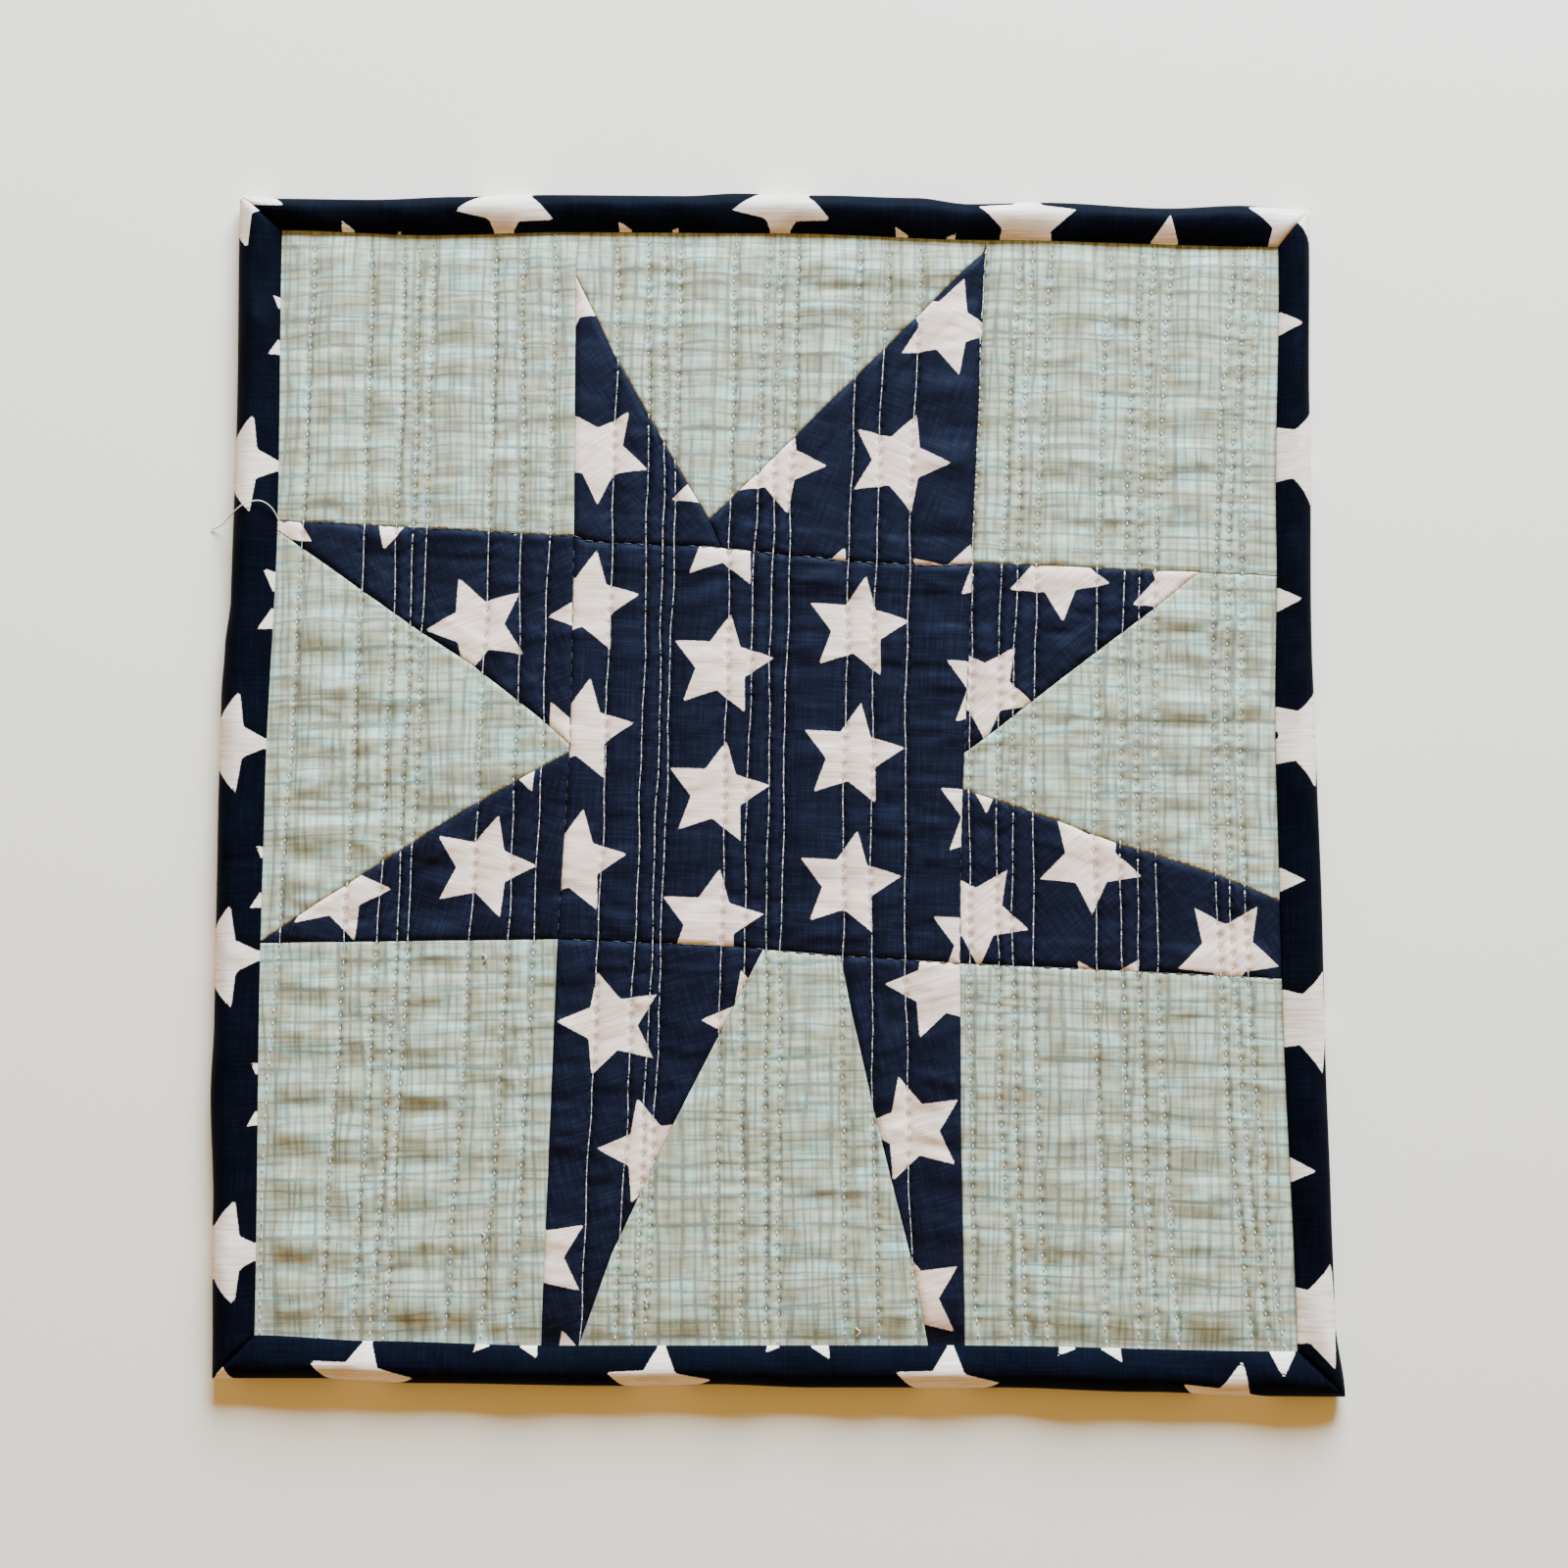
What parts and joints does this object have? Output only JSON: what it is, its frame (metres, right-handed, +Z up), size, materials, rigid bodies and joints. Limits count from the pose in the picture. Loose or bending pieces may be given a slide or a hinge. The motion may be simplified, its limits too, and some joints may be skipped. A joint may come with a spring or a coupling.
{
  "type": "star mini quilt",
  "caption": "Small flat bound quilt: one pieced star block in star-print and crosshatch cotton, quilted in upright lines, with a mitred rolled binding.",
  "frame": {"origin": "middle of the underside, on the surface the quilt lies on", "axes": "+X to the right and +Y away along the quilt's longer side as it lies face up, +Z up out of the quilted face"},
  "size_m": [0.2142, 0.2338, 0.0057],
  "materials": {
    "crosshatch_cotton": "matte plain-weave quilting cotton, pale grey-green, printed with a wavering grey crosshatch",
    "star_print_cotton": "matte plain-weave quilting cotton, navy, printed with fat off-white stars",
    "star_print_binding": "matte plain-weave quilting cotton, navy with fat off-white stars, rolled over the edge",
    "backing_cotton": "matte plain-weave unprinted cotton",
    "quilting_thread": "off-white twisted sewing thread",
    "piecing_thread": "dark twisted sewing thread"
  },
  "bodies": {
    "root": {"quilt_panel": "crosshatch_cotton", "binding_top": "star_print_binding", "binding_right": "star_print_binding", "binding_bottom": "star_print_binding", "binding_left": "star_print_binding"}
  },
  "joints": []
}
